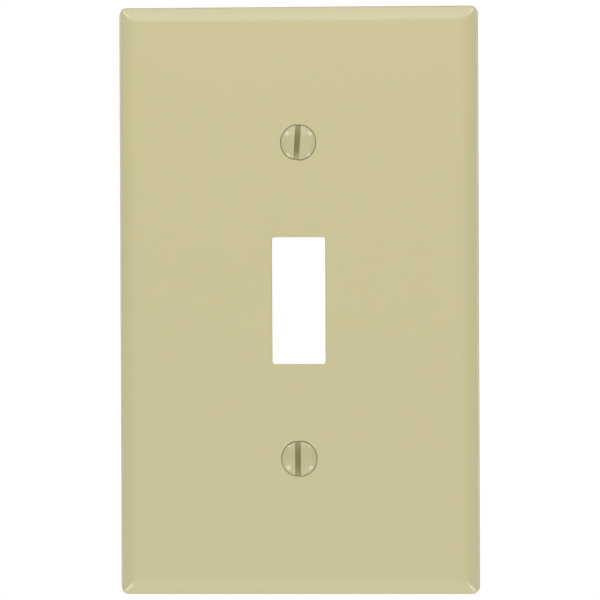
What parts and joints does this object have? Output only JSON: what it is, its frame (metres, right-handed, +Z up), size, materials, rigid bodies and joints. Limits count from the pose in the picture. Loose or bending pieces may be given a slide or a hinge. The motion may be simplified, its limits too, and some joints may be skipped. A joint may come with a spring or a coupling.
{
  "type": "toggle switch wall plate",
  "caption": "Flat rectangular cover plate with a small upright opening for a switch toggle, held by slotted oval-head screws above and below the opening.",
  "frame": {"origin": "middle of the plate's back rim, in the plane of the wall", "axes": "+Z up along the plate's long side, +X to the right seen from the front, +Y into the wall; the front faces -Y"},
  "size_m": [0.0698, 0.0136, 0.1142],
  "materials": {
    "ivory_plastic": "satin moulded ivory thermoset plastic",
    "painted_steel": "ivory paint on the head, bright zinc plating on the shank and thread"
  },
  "bodies": {
    "plate": {"wall_plate": "ivory_plastic"},
    "upper_screw": {"upper_screw": "painted_steel"},
    "lower_screw": {"lower_screw": "painted_steel"}
  },
  "joints": [
    {"name": "upper_screw_turn", "type": "hinge", "parent": "plate", "child": "upper_screw", "pos_m": [0, 0, 0.03016], "axis": [0, 1, 0], "continuous": true},
    {"name": "lower_screw_turn", "type": "hinge", "parent": "plate", "child": "lower_screw", "pos_m": [0, 0, -0.03016], "axis": [0, 1, 0], "continuous": true}
  ]
}
